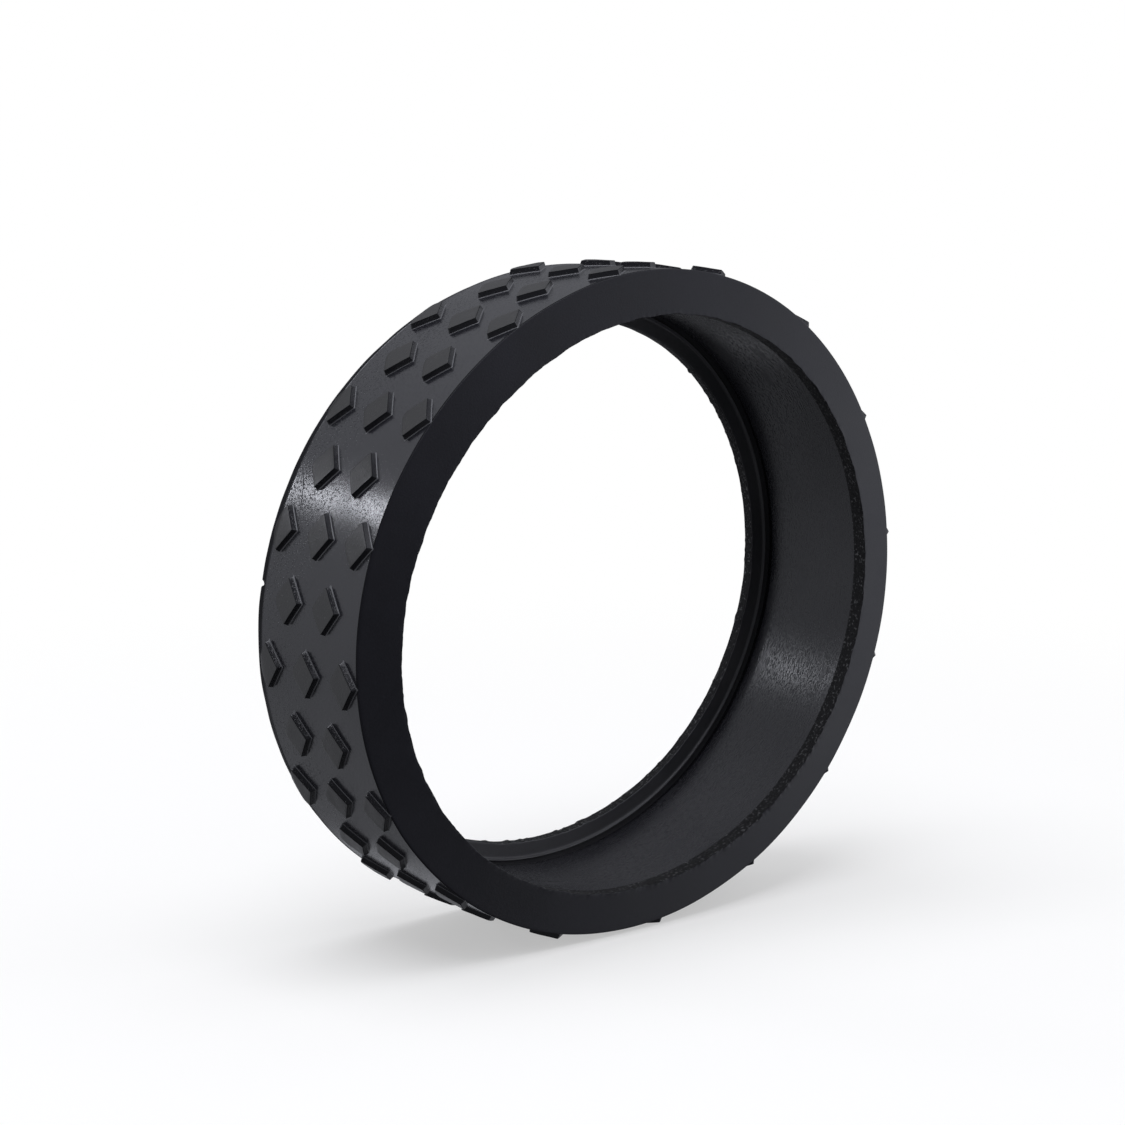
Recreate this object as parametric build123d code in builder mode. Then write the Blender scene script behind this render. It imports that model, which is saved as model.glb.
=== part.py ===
from build123d import *
from math import radians, tan
import os

os.makedirs("parts", exist_ok=True)

# A solid rubber tread ring for a wheel. Its axis lies along Y, its front face looks along -Y and +Z is up.
# The origin is the ring's centre, halfway between the front nose and the rear edge.

# ---- driving dimensions, mm and degrees ----
seat_radius = 66.0          # bore wall that grips the hub
wall = 9.0                  # rubber between the hub seat and the smooth tread
tread_width = 35.6          # front outer edge to the crisp rear edge of the tread
nose_height = 2.4           # how far the coned front face stands out at its inner edge
front_lip_grip = 0.8        # front lip's cylindrical wall, inside the hub seat
front_lip_length = 3.8      # axial length of the front lip's wall
shoulder_length = 3.0       # rear taper, axial
shoulder_drop = 0.9         # rear taper, radial
rear_lip_reach = 4.9        # rear retaining lip's inner edge, inside the hub seat
rear_lip_thickness = 2.6
rear_recess_depth = 3.2     # rear lip's back face, in from the ring's rear face
rear_recess_step = 1.5      # rear recess, outside the hub seat
groove_width = 2.0          # relief groove in front of the rear lip
groove_depth = 1.2          # below the hub seat
bead_height = 0.5           # bead round the root of the rear lip's front face
bead_width = 1.1
bead_inset = 0.1            # bead's outer edge, inside the hub seat

lug_height = 1.3
lug_half_length = 5.4       # half diagonal round the ring, at the foot
lug_half_width = 4.6        # half diagonal across the ring, at the foot
lug_draft = 14.0            # wall angle from upright, degrees
lug_heel_radius = 1.8       # rounded rear corner
pitch_count = 16            # lug pitches round the ring
lane_count = 5              # staggered lanes across the tread
lane_margin = 0.25          # front edge of the tread to the first lane's front corner
lane_overhang = 1.65        # last lane's rear corner, before rounding, past the crisp rear edge
first_row_angle = 163.0     # a row on the odd lanes, from +X towards +Z
lug_root = 1.5              # lug stock below the tread, trimmed off to the tread's curve

# ---- places worked out from them, radius first, then along the axis ----
tread_radius = seat_radius + wall
shoulder_radius = tread_radius - shoulder_drop
lug_top_radius = tread_radius + lug_height
front_lip_radius = seat_radius - front_lip_grip
rear_lip_radius = seat_radius - rear_lip_reach
groove_radius = seat_radius + groove_depth
recess_radius = seat_radius + rear_recess_step
bead_outer = seat_radius - bead_inset
bead_inner = bead_outer - bead_width

ring_length = nose_height + tread_width + shoulder_length
nose_y = -ring_length / 2
front_y = nose_y + nose_height
tread_end_y = front_y + tread_width
rear_y = tread_end_y + shoulder_length
seat_start_y = nose_y + front_lip_length
rear_lip_back_y = rear_y - rear_recess_depth
rear_lip_front_y = rear_lip_back_y - rear_lip_thickness
seat_end_y = rear_lip_front_y - groove_width
bead_top_y = rear_lip_front_y - bead_height

root_growth = lug_root * tan(radians(lug_draft))
first_lane_y = front_y + lane_margin + lug_half_width
last_lane_y = tread_end_y + lane_overhang - lug_half_width
lane_spacing = (last_lane_y - first_lane_y) / (lane_count - 1)
row_step = 360 / pitch_count / 2


def turn(points):
    """Turns a closed section about the ring's axis, corner by corner, as (radius, place on the axis)."""
    with BuildPart() as turned:
        with BuildSketch(Plane.XY):
            with BuildLine():
                Polyline(points, close=True)
            make_face()
        revolve(axis=Axis.Y)
    return turned.part


def write(solid, name):
    """Names a finished piece and writes it to its own file."""
    solid.label = name
    export_step(solid, f"parts/{name}.step")


# ---- front sidewall: the coned front face and the lip that it ends in ----
with BuildPart() as front_sidewall:
    add(turn([
        (tread_radius, front_y),
        (front_lip_radius, nose_y),
        (front_lip_radius, seat_start_y),
        (tread_radius, seat_start_y),
    ]))
write(front_sidewall.part, "front_sidewall")

# ---- carcass band: the thick wall between the hub seat and the tread ----
with BuildPart() as carcass_band:
    add(turn([
        (seat_radius, seat_start_y),
        (tread_radius, seat_start_y),
        (tread_radius, seat_end_y),
        (seat_radius, seat_end_y),
    ]))
write(carcass_band.part, "carcass_band")

# ---- rear shoulder: the groove's floor, the tapered rear edge and the rear recess ----
with BuildPart() as rear_shoulder:
    add(turn([
        (groove_radius, seat_end_y),
        (tread_radius, seat_end_y),
        (tread_radius, tread_end_y),
        (shoulder_radius, rear_y),
        (recess_radius, rear_y),
        (recess_radius, rear_lip_back_y),
        (groove_radius, rear_lip_back_y),
    ]))
write(rear_shoulder.part, "rear_shoulder")

# ---- rear retaining lip: the thin inward flange behind the hub, with the bead round its root ----
with BuildPart() as rear_lip:
    add(turn([
        (rear_lip_radius, rear_lip_front_y),
        (bead_inner, rear_lip_front_y),
        (bead_inner + bead_width / 4, bead_top_y),
        (bead_outer - bead_width / 4, bead_top_y),
        (bead_outer, rear_lip_front_y),
        (groove_radius, rear_lip_front_y),
        (groove_radius, rear_lip_back_y),
        (rear_lip_radius, rear_lip_back_y),
    ]))
write(rear_lip.part, "rear_lip")

# ---- lugs: drafted diamonds with a rounded heel, from the tread's own surface up to the lug tops' curve ----
with BuildPart() as lug_stock:
    with BuildSketch(Plane.YZ.offset(tread_radius - lug_root)):
        with BuildLine():
            Polyline(
                (-lug_half_width, 0),
                (0, -lug_half_length),
                (lug_half_width, 0),
                (0, lug_half_length),
                close=True,
            )
        make_face()
        offset(amount=root_growth, kind=Kind.INTERSECTION)
        fillet(vertices().sort_by(Axis.X)[-1], radius=lug_heel_radius + root_growth)
    extrude(amount=lug_root + 2 * lug_height, taper=lug_draft)

lug_space = turn([
    (tread_radius, front_y),
    (tread_radius, tread_end_y),
    (shoulder_radius, rear_y),
    (lug_top_radius, rear_y),
    (lug_top_radius, front_y),
])

lane_lugs = []
for lane in range(lane_count):
    with BuildPart() as lane_lug:
        with Locations((0, first_lane_y + lane * lane_spacing, 0)):
            add(lug_stock.part)
        add(lug_space, mode=Mode.INTERSECT)
    lane_lugs.append(lane_lug.part)

# ---- lug rows: on the odd lanes and on the even lanes, turn and turn about round the ring ----
for row_number in range(2 * pitch_count):
    row_angle = first_row_angle + row_number * row_step
    with BuildPart() as lug_row:
        with Locations(Location((0, 0, 0), (0, -row_angle, 0))):
            add(lane_lugs[row_number % 2::2])
    write(lug_row.part, f"lug_row_{row_number + 1:02d}")
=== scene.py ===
# %% [markdown]
# # A moulded rubber tread ring
#
# The object is one solid ring of black rubber that is stretched over a small wheel: a smooth bore inside, a
# coned face in front, a thin retaining lip behind, and eighty low diamond lugs outside. The engineering
# model holds its plain shape and size. This file makes its looks: soft moulded edges, trimmed flash, mould
# grain and satin rubber.
#
# The first cell loads the engineering model as a fixed frame and keeps its box, which the looks must not
# outgrow.

from math import atan2, cos, degrees, exp, pi, radians, sin, sqrt, tan

import bpy
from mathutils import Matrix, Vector, noise


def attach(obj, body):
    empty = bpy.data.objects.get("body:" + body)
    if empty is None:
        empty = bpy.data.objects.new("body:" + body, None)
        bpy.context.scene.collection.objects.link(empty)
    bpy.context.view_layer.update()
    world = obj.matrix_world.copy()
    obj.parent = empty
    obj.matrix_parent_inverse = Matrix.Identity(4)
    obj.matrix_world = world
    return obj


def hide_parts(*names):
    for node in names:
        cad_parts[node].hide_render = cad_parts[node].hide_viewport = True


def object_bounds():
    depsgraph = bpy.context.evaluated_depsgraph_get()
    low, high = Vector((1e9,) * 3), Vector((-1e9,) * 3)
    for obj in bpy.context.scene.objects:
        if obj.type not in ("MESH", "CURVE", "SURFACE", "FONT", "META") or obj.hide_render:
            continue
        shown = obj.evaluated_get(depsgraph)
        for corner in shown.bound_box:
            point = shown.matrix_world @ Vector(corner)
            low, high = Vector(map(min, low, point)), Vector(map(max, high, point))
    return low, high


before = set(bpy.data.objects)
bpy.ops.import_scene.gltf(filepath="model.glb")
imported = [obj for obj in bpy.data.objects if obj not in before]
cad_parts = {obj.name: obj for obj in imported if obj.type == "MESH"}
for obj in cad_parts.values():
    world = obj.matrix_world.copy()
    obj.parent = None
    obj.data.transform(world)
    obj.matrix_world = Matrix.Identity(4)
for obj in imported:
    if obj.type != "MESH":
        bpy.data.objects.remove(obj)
cad_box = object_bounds()
lowest, highest = (Vector(corner) for corner in cad_box)
print("frame nodes", len(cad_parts), "box, mm", [round(1000 * side, 2) for side in highest - lowest])

# %% [markdown]
# The ring's axis is Y, its front looks along -Y, and it stands on the floor at the lowest lug. An outline
# of a turned thing is easiest in millimetres, as distance out from the axis and place along it, so those
# are the script's own units, and one function turns them into Blender's metres. Every size here is the
# engineering model's.

# %% Sizes, mm
MM = 0.001

tread_radius = 75.0
shoulder_radius = 74.1
seat_radius = 66.0
front_lip_radius = 65.2
rear_lip_radius = 61.1
groove_radius = 67.2
recess_radius = 67.5
lug_top_radius = highest.z / MM

nose_height = 2.4
front_lip_length = 3.8
shoulder_length = 3.0
recess_depth = 3.2
rear_lip_thickness = 2.6
groove_width = 2.0

nose_y = lowest.y / MM
rear_y = highest.y / MM
front_y = nose_y + nose_height
seat_start_y = nose_y + front_lip_length
tread_end_y = rear_y - shoulder_length
lip_back_y = rear_y - recess_depth
lip_front_y = lip_back_y - rear_lip_thickness
seat_end_y = lip_front_y - groove_width


def on_ring(radius, angle, along):
    """The point, in metres, this far from the axis, at this angle from +X towards +Z, and this far along."""
    return (MM * radius * cos(angle), MM * along, MM * radius * sin(angle))


print("tread", tread_radius, "mm out, ring", round(rear_y - nose_y, 3), "mm long")

# %% [markdown]
# ## Camera
#
# The ring is seen from its front left and a little above, with a long lens, so it looks nearly undistorted.
# A camera could be placed by typing its position, but an aim point, two angles and a distance say the same
# thing in words.

# %% Camera
view_azimuth = radians(-38.585)
view_elevation = radians(10.607)
view_distance = 0.675
aim = Vector((-0.01256, -0.00581, 0.00946))

backwards = Vector((
    sin(view_azimuth) * cos(view_elevation),
    -cos(view_azimuth) * cos(view_elevation),
    sin(view_elevation),
))
camera_data = bpy.data.cameras.new("camera")
camera_data.lens = 97.67
camera_data.sensor_width = 36.0
camera_data.clip_start = 0.01
camera = bpy.data.objects.new("camera", camera_data)
camera.location = aim + view_distance * backwards
camera.rotation_euler = backwards.to_track_quat("Z", "Y").to_euler()
bpy.context.scene.collection.objects.link(camera)
bpy.context.scene.camera = camera
print("camera at, m", [round(value, 3) for value in camera.location])

# %% [markdown]
# ## Writing shader maths as sums
#
# A finish is a graph of nodes. Wiring every node by hand hides the idea behind it, so one small class
# stands for a socket and turns +, - and * into Math nodes. Everything that isn't arithmetic comes from
# one method, which takes the node's type, its settings, and what goes into its sockets. A few short methods
# give the patterns that the finishes share: smooth steps, noise, and how far a point is from another.


# %% A socket that does arithmetic
class Wire:
    """One output socket in a node tree. Arithmetic on it adds Math nodes to the same tree."""

    def __init__(self, graph, socket):
        self.graph = graph
        self.socket = socket

    def __add__(self, other):
        return self.graph.maths("ADD", self, other)

    def __sub__(self, other):
        return self.graph.maths("SUBTRACT", self, other)

    def __mul__(self, other):
        return self.graph.maths("MULTIPLY", self, other)

    def __rsub__(self, other):
        return self.graph.maths("SUBTRACT", other, self)

    __radd__ = __add__
    __rmul__ = __mul__


print("arithmetic on sockets ready")


# %% A node tree written in Python
class Graph:
    """A node tree, with one method for any node and a few short ones for shared patterns."""

    def __init__(self, tree):
        self.tree = tree
        tree.nodes.clear()

    def node(self, kind, settings=None, sockets=None, output=0):
        """Adds a node: settings first, then a value or a Wire for each socket. Gives back one output."""
        made = self.tree.nodes.new(kind)
        for name, value in (settings or {}).items():
            setattr(made, name, value)
        for name, value in (sockets or {}).items():
            if isinstance(value, Wire):
                self.tree.links.new(value.socket, made.inputs[name])
            else:
                made.inputs[name].default_value = value
        return Wire(self, made.outputs[output]) if made.outputs else made

    def maths(self, operation, first, second=0.0):
        return self.node("ShaderNodeMath", {"operation": operation}, {0: first, 1: second})

    def smooth(self, value, low, high):
        """0 below low, 1 above high, and a smooth rise between them."""
        return self.node("ShaderNodeMapRange", {"interpolation_type": "SMOOTHSTEP"},
                         {"Value": value, "From Min": low, "From Max": high})

    def mix(self, factor, first, second):
        """From the first colour to the second."""
        return self.node("ShaderNodeMix", {"data_type": "RGBA"}, {0: factor, 6: first, 7: second}, 2)

    def point(self):
        """The point on the surface, in metres."""
        return self.node("ShaderNodeTexCoord", output="Object")

    def coordinate(self, axis):
        """That point's X, Y or Z."""
        return self.node("ShaderNodeSeparateXYZ", None, {"Vector": self.point()}, axis)

    def away(self, centre):
        """How far that point is from this one, in metres."""
        return self.node("ShaderNodeVectorMath", {"operation": "DISTANCE"},
                         {0: self.point(), 1: centre}, "Value")

    def near(self, centre, reach):
        """1 at this centre, falling to 0 this many metres away."""
        return 1 - self.smooth(self.away(centre), 0.3 * reach, reach)

    def cloud(self, lumps_a_metre, detail=2.0, roughness=0.5, across=1.0, along=1.0):
        """Noise from 0 to 1. Across and along squeeze it: a number under 1 draws its lumps out that way."""
        where = self.node("ShaderNodeVectorMath", {"operation": "MULTIPLY"},
                          {0: self.point(), 1: (across, along, across)})
        return self.node("ShaderNodeTexNoise", None, {
            "Vector": where, "Scale": lumps_a_metre, "Detail": detail, "Roughness": roughness})


print("shader maths ready")

# %% [markdown]
# ## Studio
#
# Black rubber has almost no colour of its own: what is seen is what it mirrors. So the backdrop is plain
# white for the camera, while the ring mirrors a dim, slightly cool room with soft glows in it, most of them
# behind the ring. An image of a real studio could do this too, but a glow is only a direction, a spread and
# a strength, so a short table holds the whole room and can be tuned a row at a time. The last row is
# negative: a dark screen behind the ring.

# %% World
COOL_WHITE = (0.965, 0.985, 1.065)
ROOM_GLOW = 0.12

# Direction from the ring, the cosines at which the glow starts and is full, and its strength.
WORLD_GLOWS = [
    ((-0.35, 1.0, 0.20), 0.42, 0.85, 0.38),
    ((0.40, 0.75, -0.52), 0.955, 1.0, 0.32),
    ((-0.50, 0.70, 0.50), 0.60, 1.0, 0.22),
    ((0.75, -0.22, 0.62), 0.45, 0.95, 0.75),
    ((-0.90, 0.15, -0.20), 0.76, 1.0, 0.60),
    ((0.0, 1.0, 0.12), 0.87, 0.96, -0.44),
]


def make_world():
    world = bpy.data.worlds.new("studio")
    bpy.context.scene.world = world
    world.use_nodes = True
    graph = Graph(world.node_tree)
    direction = graph.node("ShaderNodeTexCoord", output="Generated")
    glow = ROOM_GLOW
    for towards, low, high, strength in WORLD_GLOWS:
        facing = graph.node("ShaderNodeVectorMath", {"operation": "DOT_PRODUCT"},
                            {0: direction, 1: Vector(towards).normalized()}, "Value")
        glow = glow + strength * graph.smooth(facing, low, high)
    seen = graph.node("ShaderNodeLightPath", output="Is Camera Ray")
    surround = graph.node("ShaderNodeBackground", None, {"Color": (*COOL_WHITE, 1), "Strength": glow})
    backdrop = graph.node("ShaderNodeBackground", None, {"Color": (1, 1, 1, 1), "Strength": 1.0})
    both = graph.node("ShaderNodeMixShader", None, {0: seen, 1: surround, 2: backdrop})
    graph.node("ShaderNodeOutputWorld", None, {"Surface": both})


make_world()
bpy.context.scene.view_settings.view_transform = "Standard"
print("world ready, glows", len(WORLD_GLOWS))

# %% [markdown]
# The glows have no edges, so whatever is crisp comes from lamps. One small soft box, far off at the back
# left, draws the bright bar across the tread and its partner in the bore. Three larger weak ones, at the
# right, low down and in front, lift the coned face, and a wide one overhead lights the lug tops and the
# floor. Point lamps would be simpler, but what satin rubber shows is the lamp's mirror image, and only an
# area lamp's has a width and a height to set.


# %% Lamps
def soft_box(name, direction, distance, width, height, watts):
    """A rectangular lamp this far off in this direction, facing the ring and hidden from the camera."""
    data = bpy.data.lights.new(name, "AREA")
    data.shape = "RECTANGLE"
    data.size = width
    data.size_y = height
    data.energy = watts
    data.color = COOL_WHITE
    lamp = bpy.data.objects.new(name, data)
    towards = Vector(direction).normalized()
    lamp.location = distance * towards
    lamp.rotation_euler = towards.to_track_quat("Z", "Y").to_euler()
    lamp.visible_camera = False
    bpy.context.scene.collection.objects.link(lamp)


soft_box("back_left_box", (-0.53, 0.77, 0.362), distance=1.6, width=0.20, height=0.10, watts=1.05)
soft_box("right_box", (0.92, -0.40, -0.14), distance=1.1, width=0.8, height=0.8, watts=1.9)
soft_box("low_box", (0.62, -0.60, -0.50), distance=1.2, width=0.8, height=0.6, watts=1.3)
soft_box("front_box", (0.52, -0.82, 0.22), distance=1.3, width=0.7, height=0.5, watts=0.9)
soft_box("top_box", (-0.25, -0.05, 1.0), distance=1.6, width=1.4, height=1.4, watts=21.0)

# %% [markdown]
# ## Finishes
#
# The ring is one rubber. The mould and the trimming knife leave five finishes on it: tread, bore, face,
# trimmed edge and lug top. Two more are copies of the same rubber that paint light and shade: a paler one,
# painted light on the rear lip and the lugs' feet, and a darker, duller one, painted shade on the outer
# edges, the rear taper and the lugs' top edges. Each could be a shader of its own. Because the rubber is the
# same, one function makes them all, and a finish is then only two tones, a roughness, a gloss, and a short
# description of its pattern. Image textures would have to be unwrapped; noise that is read at the point
# itself has no seams on a ring.


# %% Rubber
def rubber(name, describe, colour, lighter, roughness, gloss):
    """A rubber finish. describe(graph) gives the tone, added roughness, height and depth of its relief, mm."""
    material = bpy.data.materials.new(name)
    material.use_nodes = True
    graph = Graph(material.node_tree)
    tone, dullness, height, relief = describe(graph)
    normal = graph.node("ShaderNodeBump", None, {"Strength": 1.0, "Distance": MM * relief, "Height": height})
    shader = graph.node("ShaderNodeBsdfPrincipled", None, {
        "Base Color": graph.mix(tone, (*colour, 1), (*lighter, 1)),
        "Roughness": roughness + dullness,
        "Normal": normal,
        "Specular IOR Level": gloss,
    })
    graph.node("ShaderNodeOutputMaterial", None, {"Surface": shader})
    print("made", material.name)
    return material


# %% [markdown]
# The tread came out of a finely blasted steel mould: satin, with a grain that sparkles in the bright bar
# and gets coarser towards the rear. A thin curved line shows where two flows of rubber met, and beside two
# lugs there are fine rings from the cutter that made their pockets. Both could be modelled as grooves, but
# they are a few hundredths of a millimetre deep, so relief in the finish is enough.

# %% Marks on the tread
FLOW_ANGLE = radians(164.0)
FLOW_ALONG = 30.6
FLOW_RADIUS = 19.95
FLOW_CORE = 0.05
FLOW_EDGE = 0.14
FLOW_MIDDLE = on_ring(74.4, radians(156.3), 13.9)
FLOW_REACH = 0.012

CUTTER_CENTRES = [on_ring(73.4, radians(100.5), -0.6), on_ring(73.4, radians(96.3), -9.6)]
CUTTER_REACH = 0.0042
CUTTER_WAVES = 13000.0


def flow_line(graph):
    """1 on a thin curved line on the tread, part of a circle drawn on the tread's surface."""
    tread = MM * tread_radius
    turned_by = graph.maths("ARCTAN2", graph.coordinate("Z"), graph.coordinate("X"))
    around_ring = tread * turned_by - tread * FLOW_ANGLE
    beside = graph.coordinate("Y") - MM * FLOW_ALONG
    off = graph.maths("SQRT", around_ring * around_ring + beside * beside) - MM * FLOW_RADIUS
    line = 1 - graph.smooth(graph.maths("ABSOLUTE", off), MM * FLOW_CORE, MM * FLOW_EDGE)
    return line * graph.near(FLOW_MIDDLE, FLOW_REACH)


def cutter_rings(graph, centre):
    """Fine rings round one point, from -1 to 1, dying out at the cutter's reach."""
    far = graph.away(centre)
    return graph.maths("SINE", CUTTER_WAVES * far) * (1 - graph.smooth(far, 0.6 * CUTTER_REACH, CUTTER_REACH))


print("marks on the tread", 1 + len(CUTTER_CENTRES))


# %% Tread finish
def describe_tread(graph):
    grain = graph.cloud(3000, roughness=0.6)
    pebble = graph.cloud(900, detail=3, roughness=0.6)
    patches = graph.cloud(60, detail=4, roughness=0.55)
    specks = graph.smooth(graph.cloud(2100, detail=1), 0.56, 0.68)
    dust = graph.smooth(graph.cloud(1500, detail=0), 0.86, 0.9)
    rearward = graph.smooth(graph.coordinate("Y"), -0.006, 0.016)
    seam = flow_line(graph)
    rings = cutter_rings(graph, CUTTER_CENTRES[0]) + cutter_rings(graph, CUTTER_CENTRES[1])
    tone = 0.35 * patches + 0.9 * dust
    dullness = 0.06 * (patches - 0.5) + 0.10 * (pebble - 0.5) + 0.10 * specks * (0.4 + rearward) + 0.25 * seam
    height = 0.20 * grain + 0.35 * pebble + (0.25 + 0.45 * rearward) * specks - 1.2 * seam + 0.15 * rings
    return tone, dullness, height, 0.04


tread_finish = rubber("rubber_tread_finish", describe_tread, colour=(0.010, 0.010, 0.0125),
                      lighter=(0.025, 0.025, 0.030), roughness=0.19, gloss=0.5)

# %% [markdown]
# The bore slid off a polished steel core, so it is smoother than the faces and has faint lines round it,
# fine scratches that break up its highlight, and one small dent. The scratches could be cut into the mesh,
# but it would take millions of faces. Noise that is drawn out round the ring gives the same broken shine.

# %% Bore finish
DENT_CENTRE = on_ring(seat_radius, radians(66), -7.0)
DENT_REACH = 0.0022


def describe_bore(graph):
    lines = graph.cloud(2600, detail=3, roughness=0.6, across=0.05)
    scratches = graph.smooth(graph.cloud(3900, detail=1, across=0.24), 0.52, 0.66)
    ticks = graph.cloud(900, detail=3, roughness=0.6, along=2.4)
    patches = graph.cloud(45, detail=3, along=1.6)
    drags = graph.smooth(graph.cloud(160, detail=4, roughness=0.6, across=0.5, along=1.4), 0.52, 0.72)
    dust = graph.smooth(graph.cloud(900, detail=0), 0.87, 0.9)
    dent = graph.near(DENT_CENTRE, DENT_REACH)
    tone = 0.6 * graph.smooth(patches, 0.3, 0.75) + 0.35 * drags + dust
    dullness = 0.08 * (patches - 0.5) + 0.10 * (ticks - 0.5) + 0.09 * drags + 0.12 * scratches
    height = 0.35 * lines + 0.35 * ticks + 0.45 * scratches - 1.5 * dent
    return tone, dullness, height, 0.03


bore_finish = rubber("rubber_bore_finish", describe_bore, colour=(0.008, 0.008, 0.0105),
                     lighter=(0.016, 0.016, 0.019), roughness=0.25, gloss=0.33)

# %% [markdown]
# The front and rear faces are matt and blue-black, with faint smudges from handling and a few specks of
# dust. The rear lip's finish, also laid on the lugs' feet, is the same rubber painted paler and made
# shinier: its paler colour is painted light. The outer edges' finish is the same rubber painted darker and
# made to hardly shine: painted shade, so that no bright rim shows along them. All three share one pattern
# and differ only in their tones, roughness and gloss.


# %% Face, lip and edge finishes
def describe_face(graph):
    grain = graph.cloud(2600, detail=3, roughness=0.6)
    smudges = graph.cloud(38, detail=4, roughness=0.6)
    dust = graph.smooth(graph.cloud(800, detail=0), 0.87, 0.9)
    tone = 0.8 * graph.smooth(smudges, 0.3, 0.75) + dust
    return tone, 0.14 * (smudges - 0.5), grain, 0.03


face_finish = rubber("rubber_face_finish", describe_face, colour=(0.0062, 0.0062, 0.0098),
                     lighter=(0.012, 0.012, 0.018), roughness=0.50, gloss=0.28)
# Painted light: a paler copy of the face rubber for the rear lip's front face, its bead and the lugs' feet.
painted_light_finish = rubber("rubber_painted_light_finish", describe_face, colour=(0.055, 0.055, 0.060),
                    lighter=(0.085, 0.085, 0.090), roughness=0.38, gloss=0.5)
# Painted shade: a darker, duller copy of the rubber for the outer edges, the rear taper and lug top edges.
painted_shade_finish = rubber("rubber_painted_shade_finish", describe_face, colour=(0.005, 0.005, 0.006),
                     lighter=(0.011, 0.011, 0.013), roughness=0.55, gloss=0.07)

# %% [markdown]
# Where flash was cut off, the rubber is torn: nearly black, with pale flecks where the knife left shreds.
# Lug tops are duller than the tread and a little warmer, with coarse specks. The tears could be sculpted,
# but they are finer than the mesh; a deep relief does it, and the trimmed edges themselves are made ragged
# in the mesh further down.


# %% Trimmed and lug finishes
def describe_trim(graph):
    torn = graph.cloud(1100, detail=5, roughness=0.7)
    flecks = graph.smooth(graph.cloud(1700), 0.57, 0.70)
    return 0.8 * flecks, 0.2 * (torn - 0.5), torn, 0.35


def describe_lug(graph):
    grain = graph.cloud(2600, roughness=0.6)
    specks = graph.smooth(graph.cloud(1900, detail=1), 0.55, 0.68)
    smudges = graph.cloud(240, detail=3, roughness=0.6)
    return 0.8 * smudges + 0.4 * specks, 0.12 * (smudges - 0.5), 0.4 * grain + 0.7 * specks, 0.03


trim_finish = rubber("rubber_trim_finish", describe_trim, colour=(0.005, 0.005, 0.0055),
                     lighter=(0.11, 0.11, 0.11), roughness=0.55, gloss=0.15)
lug_finish = rubber("rubber_lug_finish", describe_lug, colour=(0.010, 0.0098, 0.0095),
                    lighter=(0.022, 0.0215, 0.021), roughness=0.36, gloss=0.44)

finishes = [tread_finish, bore_finish, face_finish, trim_finish, painted_light_finish, painted_shade_finish, lug_finish]
TREAD, BORE, FACE, TRIM, PAINTED_LIGHT, PAINTED_SHADE, LUG = range(len(finishes))
print("finishes", len(finishes))

# %% [markdown]
# ## How the moulding isn't perfect
#
# A lathe-perfect ring looks like plastic. Soft rubber rests about two millimetres out of round, comes out
# of its mould a little uneven, is trimmed by hand, and this one has a small nick in its rear edge. Each
# piece could be bent by modifiers, but their joints would open. Instead one function moves every point of
# every piece by where it is, so neighbouring pieces move together.

# %% Noise and humps
# Each kind of unevenness: how deep it goes and how wide its lumps are, in mm, and its seed.
SWELL = (0.10, 16.0, 3.0)
DRIFT = (0.05, 11.0, 8.0)
NOSE_TEARS = (0.34, 0.9, 1.0)
NOSE_BITES = (0.204, 2.3, 5.0)
NOSE_SHREDS = (0.26, 1.1, 12.0)
NOSE_WANDER = (0.30, 3.2, 9.0)
LIP_WANDER = (0.10, 4.0, 17.0)
LIP_WHISKERS = (0.55, 1.6, 21.0)
REAR_WANDER = (0.22, 7.0, 30.0)
LUG_WEAR = (0.05, 3.2, 40.0)


def lumps(kind, radius, angle, along):
    """Smooth noise of this kind at a point of the ring, in mm, inwards and outwards."""
    depth, size, seed = kind
    point = Vector((radius * cos(angle), along, radius * sin(angle)))
    return depth * noise.noise(point / size + Vector((seed, 2.7 * seed, -seed)))


def hump(value, centre, reach):
    """1 at the centre, falling smoothly to nearly 0 a reach or two away."""
    return exp(-((value - centre) / reach) ** 2)


def turn_from(angle, centre):
    """How far round the ring this angle is from that centre, from minus half a turn to half a turn."""
    return (angle - centre + pi) % (2 * pi) - pi


print("deepest of the rear edge's waves, mm", REAR_WANDER[0])

# %% Unevenness
sag = 2.07                          # how much longer and shorter than round the oval's two half-widths are
long_way = radians(27.6)
three_lobes = 0.40
lobe_way = radians(-45)
ripple = 0.035
rear_pinch = 1.5                    # the outer rear edge is pulled in at the very top and bottom
pinch_sharpness = 8

trim_centre = radians(-58)          # where the knife cut the nose edge worst
trim_spread = radians(34)
trim_least = 0.26
lip_trim = 0.35                     # the punch left the rear lip's inner edge this much wide
whisker_gap = 0.15                  # share of the noise that leaves no whisker

nick_angle = radians(173.6)
nick_depth = 1.3
nick_half_width = 0.65


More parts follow.
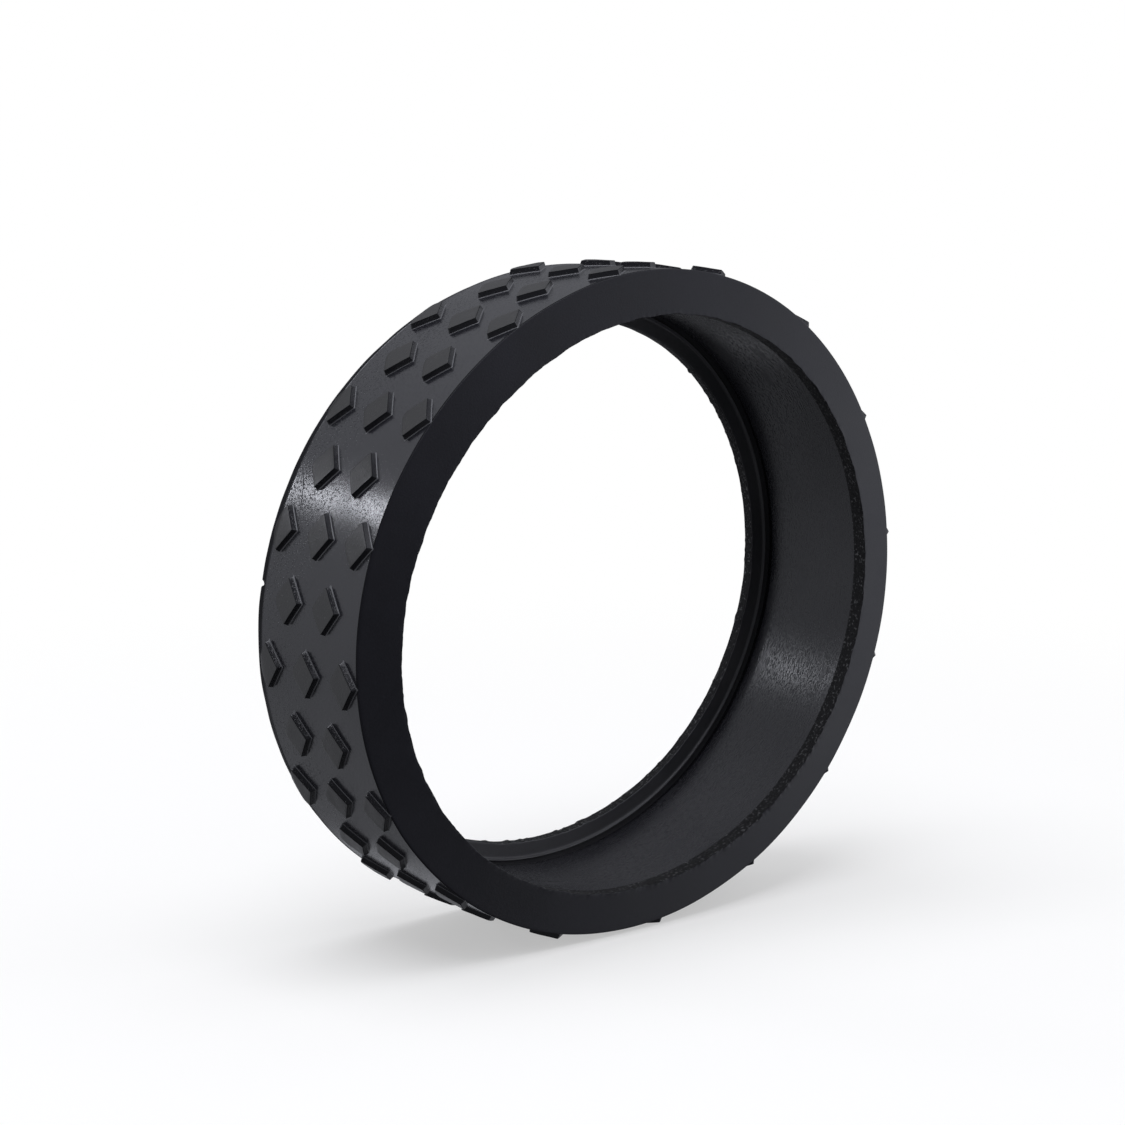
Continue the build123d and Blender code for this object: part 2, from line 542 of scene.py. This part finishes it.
def uneven(radius, angle, along):
    """Where a point of the perfect ring really is: its radius and its place along the axis."""
    oval = sag * cos(2 * (angle - long_way)) + three_lobes * cos(3 * (angle - lobe_way))
    swell = ripple * sin(7 * angle + 2.0) + lumps(SWELL, radius, angle, along)
    rearward = (along - front_y) / (tread_end_y - front_y)
    outward = min(1.0, max(0.0, (radius - seat_radius) / (tread_radius - seat_radius)))
    new_radius = radius + oval + swell - rear_pinch * rearward * outward * sin(angle) ** pinch_sharpness
    new_along = along + lumps(DRIFT, radius, angle, along)

    at_nose = hump(radius, front_lip_radius, 0.45) * hump(along, nose_y, 0.5)
    cut = trim_least + (1 - trim_least) * hump(turn_from(angle, trim_centre), 0.0, trim_spread)
    ragged = lumps(NOSE_TEARS, radius, angle, along) + lumps(NOSE_BITES, radius, angle, along)
    new_along += at_nose * cut * ragged
    new_radius += at_nose * cut * lumps(NOSE_SHREDS, radius, angle, along)
    new_radius += at_nose * lumps(NOSE_WANDER, radius, angle, 0.0)

    at_lip = hump(radius, rear_lip_radius, 0.4)
    whiskers = max(0.0, lumps(LIP_WHISKERS, radius, angle, 0.0) - LIP_WHISKERS[0] * whisker_gap)
    new_radius += at_lip * (lip_trim + lumps(LIP_WANDER, radius, angle, 0.0) - whiskers)

    at_rear = hump(along, rear_y, 1.1) if radius > seat_radius + 4 else 0.0
    nick = max(0.0, 1 - radius * abs(turn_from(angle, nick_angle)) / nick_half_width)
    new_along += at_rear * (lumps(REAR_WANDER, radius, angle, 0.0) - nick_depth * nick)
    new_radius -= at_rear * 0.5 * nick
    return new_radius, new_along


print("swell near the tread's middle, mm", round(uneven(tread_radius, 2.6, 0.0)[0] - tread_radius, 3))

# %% [markdown]
# ## Turned zones
#
# Four zones of the moulding are turned shapes: front sidewall, carcass band, rear shoulder and rear lip. A
# Screw modifier could turn an outline, but building the mesh directly lets each strip of the outline carry
# its own finish and lets the unevenness act point by point. Corners are rounded in the outline, as a mould
# rounds them.

# %% Outlines
corner_steps = 6


def rounded(start, corner, leave, t):
    """The point at t, from 0 to 1, on the curve that cuts a corner from start to leave."""
    return (1 - t) ** 2 * start + 2 * t * (1 - t) * corner + t * t * leave


def outline(corners):
    """A closed outline as [(radius, along, finish of the strip that starts here)].

    Each corner is (radius, along, rounding, steps to the next corner, finish of that run).
    """
    points = []
    count = len(corners)
    ends = []
    for index, (radius, along, rounding, _, _) in enumerate(corners):
        here = Vector((radius, along))
        before = (Vector(corners[index - 1][:2]) - here).normalized()
        after = (Vector(corners[(index + 1) % count][:2]) - here).normalized()
        ends.append((here + rounding * before, here, here + rounding * after, rounding))
    for index, (_, _, _, steps, finish) in enumerate(corners):
        start, corner, leave, rounding = ends[index]
        previous = corners[index - 1][4]
        if rounding:
            for part in range(corner_steps):
                t = part / corner_steps
                at = rounded(start, corner, leave, t)
                points.append((at.x, at.y, previous if t < 0.5 else finish))
        arrive = ends[(index + 1) % count][0]
        for step in range(steps):
            at = leave.lerp(arrive, step / steps)
            points.append((at.x, at.y, finish))
    return points


print("steps on a rounded corner", corner_steps)


# %% A finished piece
def add_piece(name, vertices, faces, face_finishes, node, crease=35):
    """A closed, smoothly shaded piece that stands for the named CAD node."""
    mesh = bpy.data.meshes.new(name)
    mesh.from_pydata(vertices, [], faces)
    used = sorted(set(face_finishes))
    for finish in used:
        mesh.materials.append(finishes[finish])
    mesh.polygons.foreach_set("material_index", [used.index(finish) for finish in face_finishes])
    mesh.polygons.foreach_set("use_smooth", [True] * len(faces))
    mesh.set_sharp_from_angle(angle=radians(crease))
    mesh.validate()
    piece = bpy.data.objects.new(name, mesh)
    bpy.context.scene.collection.objects.link(piece)
    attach(piece, "root")
    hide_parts(node)


# %% Turning an outline
steps_around = 1440


def turned(name, corners, node):
    """Turns an outline about the ring's axis, with its unevenness."""
    points = outline(corners)
    count = len(points)
    vertices = []
    for turn in range(steps_around):
        angle = 2 * pi * turn / steps_around
        for radius, along, _ in points:
            new_radius, new_along = uneven(radius, angle, along)
            vertices.append(on_ring(new_radius, angle, new_along))
    faces = []
    face_finishes = []
    for turn in range(steps_around):
        here = turn * count
        there = (turn + 1) % steps_around * count
        for index, (_, _, finish) in enumerate(points):
            follow = (index + 1) % count
            faces.append((here + index, here + follow, there + follow, there + index))
            face_finishes.append(finish)
    add_piece(name, vertices, faces, face_finishes, node)
    print(name, "strips", count, "faces", len(faces))


# %% [markdown]
# The front sidewall is the coned front face. The mould rounds its outer edge softly, and the short strip
# behind that edge is painted darker and duller: painted shade, so that the rounded edge shows no bright rim.
# Its inner edge was trimmed, so the short wall behind it is torn rubber.
# The outline runs the same way round in every zone, so that all faces look outwards.

# %% Front sidewall
front_edge_strip = 0.42
turned("front_sidewall_skin", [
    (tread_radius, seat_start_y, 0, 3, TREAD),
    # The strip before the rounded outer edge gets the darker finish: painted shade.
    (tread_radius, front_y + front_edge_strip, 0, 1, PAINTED_SHADE),
    (tread_radius, front_y, 0.36, 14, FACE),
    (front_lip_radius, nose_y, 0.18, 9, TRIM),
    (front_lip_radius, seat_start_y, 0.25, 1, TRIM),
    (seat_radius, seat_start_y, 0, 1, BORE),
], "front_sidewall")

# %% [markdown]
# The carcass band is the thick wall between the hub seat and the tread. Its inside is the bore finish, its
# outside the tread's, and its edge towards the groove is rounded by the core.

# %% Carcass band
turned("carcass_band_skin", [
    (seat_radius, seat_start_y, 0, 22, BORE),
    (seat_radius, seat_end_y, 0.5, 2, BORE),
    (groove_radius, seat_end_y, 0, 1, BORE),
    (tread_radius, seat_end_y, 0, 24, TREAD),
    (tread_radius, seat_start_y, 0, 1, TREAD),
], "carcass_band")

# %% [markdown]
# The rear shoulder ends the tread in a crisp line, where the two mould halves met and left a hair of flash,
# and then tapers to the rear face. The taper has the darker, duller finish: painted shade that keeps it dark.
# Inside it are the groove's floor in front of the lip and the recess behind it.

# %% Rear shoulder
flash_height = 0.10
flash_width = 0.22
flash_root = 0.05
turned("rear_shoulder_skin", [
    (groove_radius, seat_end_y, 0, 4, BORE),
    (groove_radius, lip_front_y, 0, 1, BORE),
    (groove_radius, lip_back_y, 0, 1, FACE),
    (recess_radius, lip_back_y, 0.12, 4, FACE),
    (recess_radius, rear_y, 0.25, 8, FACE),
    # From the rear edge round to the flash, the taper gets the darker finish: painted shade.
    (shoulder_radius, rear_y, 0.25, 6, PAINTED_SHADE),
    (tread_radius - flash_root, tread_end_y + flash_width, 0.03, 1, PAINTED_SHADE),
    (tread_radius + flash_height, tread_end_y, 0.03, 1, TREAD),
    (tread_radius, tread_end_y - flash_width, 0.05, 6, TREAD),
    (tread_radius, seat_end_y, 0, 1, TREAD),
], "rear_shoulder")

# %% [markdown]
# The rear lip is the thin flange that the hub's edge rests against. It has a low bead round its root, and
# its inner edge was punched out, so it is rough and has short whiskers of flash. The bead could be a torus,
# but as a part of the outline it grows out of the lip without a joint.

# %% Rear lip
bead_height = 0.5
bead_outer = seat_radius - 0.1
bead_width = 1.1
bead_steps = 8
# The bead and the lip's front face get the paler finish: painted light.
bead = [
    (bead_outer - bead_width * (1 - step / bead_steps),
     lip_front_y - bead_height * sin(pi * step / bead_steps) ** 2, 0, 1, PAINTED_LIGHT)
    for step in range(bead_steps + 1)
]
turned("rear_lip_skin", [
    (groove_radius, lip_front_y, 0, 1, FACE),
    (groove_radius, lip_back_y, 0, 8, FACE),
    (rear_lip_radius, lip_back_y, 0.25, 6, TRIM),
    (rear_lip_radius, lip_front_y, 0.35, 8, PAINTED_LIGHT),
    *bead,
], "rear_lip")

# %% [markdown]
# ## Lugs
#
# A lug is a low diamond pad, longer round the ring than across it, with steep walls, a crisp top edge, a
# small fillet where it grows out of the tread, and one rounded corner at its heel. Bevelling a cut-out
# diamond gives fillets that fold at the sharp corners. Stacking rings of points instead, each the same
# diamond a little smaller and higher, keeps the points matched from foot to top. The whole pad is laid on
# the ring's own curve.

# %% Lug sizes, mm
lug_half_length = 5.4
lug_half_width = 4.6
lug_height = lug_top_radius - tread_radius
lug_draft = radians(14)
lug_foot_fillet = 0.25
lug_edge_radius = 0.12
lug_front_corner = 0.25
lug_side_corner = 0.35
lug_heel = 1.9
lug_root = 0.5
lug_crown = 0.97                    # how much of the way to its middle the top is ringed, before it is closed
lane_count = 5
first_lane_y = front_y + 0.25 + lug_half_width
last_lane_y = tread_end_y + 1.65 - lug_half_width
lane_spacing = (last_lane_y - first_lane_y) / (lane_count - 1)
lug_face_distance = lug_half_length * lug_half_width / sqrt(lug_half_length ** 2 + lug_half_width ** 2)
print("lanes at, mm", [round(first_lane_y + lane * lane_spacing, 2) for lane in range(lane_count)])

# %% One lug's rings
side_steps = 9


def diamond(inset):
    """The lug's outline this far inside its foot, as (round the ring, along it), from the front corner."""
    scale = (lug_face_distance - inset) / lug_face_distance
    corners = [
        (0, -lug_half_width, lug_front_corner),
        (lug_half_length, 0, lug_side_corner),
        (0, lug_half_width, lug_heel),
        (-lug_half_length, 0, lug_side_corner),
    ]
    points = []
    for index, (length, width, rounding) in enumerate(corners):
        here = Vector((length, width))
        before = (Vector(corners[index - 1][:2]) - here).normalized()
        beyond = Vector(corners[(index + 1) % 4][:2])
        after = (beyond - here).normalized()
        leave = here + rounding * after
        arrive = beyond - corners[(index + 1) % 4][2] * after
        for part in range(corner_steps + 1):
            points.append(scale * rounded(here + rounding * before, here, leave, part / corner_steps))
        for step in range(1, side_steps):
            points.append(scale * leave.lerp(arrive, step / side_steps))
    return points


print("points in a ring", len(diamond(0.0)))


# %% One lug's profile
def lug_levels():
    """The lug's profile, root to middle, as (inset from the foot's outline, height over the tread)."""
    centre = -lug_foot_fillet * (1 - sin(lug_draft)) / cos(lug_draft)
    levels = [(centre, -lug_root), (centre - 0.05, -0.03)]
    for part in range(6):
        swing = radians(-90) + (radians(90) - lug_draft) * part / 5
        levels.append((centre + lug_foot_fillet * cos(swing), lug_foot_fillet * (1 + sin(swing))))
    wall_top = lug_height - lug_edge_radius
    top_centre = wall_top * tan(lug_draft) + lug_edge_radius
    for part in range(1, 3):
        height = levels[-1][1] + (wall_top - levels[-1][1]) * part / 2
        levels.append((height * tan(lug_draft), height))
    for part in range(1, 5):
        swing = radians(180 - 90 * part / 4)
        levels.append((top_centre + lug_edge_radius * cos(swing), wall_top + lug_edge_radius * sin(swing)))
    rim = levels[-1][0]
    for part in range(1, 6):
        levels.append((rim + (lug_face_distance * lug_crown - rim) * part / 5, lug_height))
    return levels


def level_finish(low, high):
    """The finish between two levels: foot painted light, wall, edge painted shade, then the dull top."""
    height = (low[1] + high[1]) / 2
    # The foot's paler strip is a painted highlight line.
    if 0 < height < 0.6 * lug_foot_fillet:
        return PAINTED_LIGHT
    if height < lug_height - lug_edge_radius:
        return TREAD
    # The top edge's darker strip is painted shade that outlines the top.
    return PAINTED_SHADE if height < lug_height - 0.15 * lug_edge_radius else LUG


profile = lug_levels()
rings = [diamond(inset) for inset, _ in profile]
strip_finishes = [level_finish(low, high) for low, high in zip(profile, profile[1:])]
print("levels", len(profile), "strips", len(strip_finishes))

# %% [markdown]
# Towards the rear edge the lugs of the last lane fade into the tread, and every lug slides a little round
# the ring, because the oval stretches the tread where it is flattest. Lattices or shrinkwraps could do
# both, but each point already knows where it lies on the ring, so two lines of sums are enough.

# %% One lug
sink = 0.78                         # how much of its height a last-lane lug has lost at the rear edge
sink_before = 2.2
sink_length = 3.4
worn_above = 0.3


def tread_floor(along):
    """The tread's radius at a place along the axis, on its flat or on its rear taper."""
    past = max(0.0, along - tread_end_y)
    return tread_radius - past * (tread_radius - shoulder_radius) / shoulder_length


def sunk(height, along):
    """A height over the tread after the fade towards the rear edge."""
    fade = min(1.0, max(0.0, (along - tread_end_y + sink_before) / sink_length))
    return height * (1 - sink * fade * fade * (3 - 2 * fade)) if height > 0 else height


def add_lug(row_angle, lane_y, vertices, faces, face_finishes):
    """Adds one lug's points and faces, laid on the ring's curve."""
    base = len(vertices)
    count = len(rings[0])
    for (_, height), ring in zip(profile, rings):
        for length, width in ring:
            along = min(lane_y + width, rear_y - 0.1)
            floor_radius = tread_floor(along)
            angle = row_angle + length / tread_radius
            angle -= sag / (2 * tread_radius) * sin(2 * (angle - long_way))
            worn = LUG_WEAR[0] - lumps(LUG_WEAR, floor_radius, angle, along) if height > worn_above else 0.0
            new_radius, new_along = uneven(floor_radius, angle, along)
            vertices.append(on_ring(new_radius + sunk(height, along) - worn, angle, new_along))
    for level, finish in enumerate(strip_finishes):
        low = base + level * count
        high = low + count
        for index in range(count):
            follow = (index + 1) % count
            faces.append((low + index, low + follow, high + follow, high + index))
            face_finishes.append(finish)
    faces.append(tuple(base + index for index in reversed(range(count))))
    faces.append(tuple(base + (len(rings) - 1) * count + index for index in range(count)))
    face_finishes.extend([TREAD, LUG])


# %% [markdown]
# Each row of lugs sits on the odd lanes or on the even ones. Its angle could be typed in again, but it is
# safer to read it from the engineering model's own row: that row's points are evenly spread about its
# middle, so their average points along it.


# %% All rows
def row_middle(node):
    """The angle of a row, from the points of the CAD row, and the lanes that its lugs are on."""
    points = [vertex.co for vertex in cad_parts[node].data.vertices]
    middle = sum(points, Vector()) / len(points)
    near_front = min(point.y for point in points) < MM * (first_lane_y - 0.2 * lug_half_width)
    return atan2(middle.z, middle.x), range(0 if near_front else 1, lane_count, 2)


row_nodes = sorted(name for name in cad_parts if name.startswith("lug_row_"))
lug_count = 0
for node in row_nodes:
    row_angle, lanes = row_middle(node)
    vertices = []
    faces = []
    face_finishes = []
    for lane in lanes:
        add_lug(row_angle, first_lane_y + lane * lane_spacing, vertices, faces, face_finishes)
    add_piece(node + "_skin", vertices, faces, face_finishes, node, crease=50)
    lug_count += len(lanes)
first_angle = degrees(row_middle(row_nodes[0])[0])
print("rows", len(row_nodes), "lugs", lug_count, "first row at, degrees", round(first_angle, 2))

# %% [markdown]
# ## Floor
#
# The ring stands on a plain pale floor at its lowest lug. Near the ring the floor is matt paint, warmed a
# little to offset the cool lamps, that takes a soft shadow. Farther out it fades into the white backdrop,
# so that no edge or corner of it shows. Only the camera's rays meet it; to the light and to what the ring
# mirrors it is clear, because real rubber this dark mirrors the floor so weakly, and so the low lamp and
# glows can reach the ring from below. A shadow catcher could do the same, but it is switched on in the
# render and not in the material.

# %% Floor
FLOOR_HALF = 4.0
FLOOR_PAINT = (0.94, 0.925, 0.88, 1)
FLOOR_LEAST_WHITE = 0.45
FADE_STARTS = 0.11
FADE_ENDS = 0.40


def make_floor():
    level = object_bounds()[0][2]
    mesh = bpy.data.meshes.new("floor")
    signs = [(-1, -1), (1, -1), (1, 1), (-1, 1)]
    mesh.from_pydata([(FLOOR_HALF * x, FLOOR_HALF * y, level) for x, y in signs], [], [(0, 1, 2, 3)])
    floor = bpy.data.objects.new("floor", mesh)
    bpy.context.scene.collection.objects.link(floor)
    material = bpy.data.materials.new("pale_floor")
    material.use_nodes = True
    graph = Graph(material.node_tree)
    seen = graph.node("ShaderNodeLightPath", output="Is Camera Ray")
    paint = graph.node("ShaderNodeBsdfDiffuse", None, {"Color": FLOOR_PAINT})
    white = graph.node("ShaderNodeEmission", None, {"Color": (1, 1, 1, 1), "Strength": 1.0})
    far = graph.smooth(graph.away((0, 0, 0)), FADE_STARTS, FADE_ENDS)
    whiteness = FLOOR_LEAST_WHITE + (1 - FLOOR_LEAST_WHITE) * far
    shown = graph.node("ShaderNodeMixShader", None, {0: whiteness, 1: paint, 2: white})
    nothing = graph.node("ShaderNodeBsdfTransparent")
    both = graph.node("ShaderNodeMixShader", None, {0: seen, 1: nothing, 2: shown})
    graph.node("ShaderNodeOutputMaterial", None, {"Surface": both})
    mesh.materials.append(material)
    print("floor at, mm", round(level / MM, 2))


make_floor()
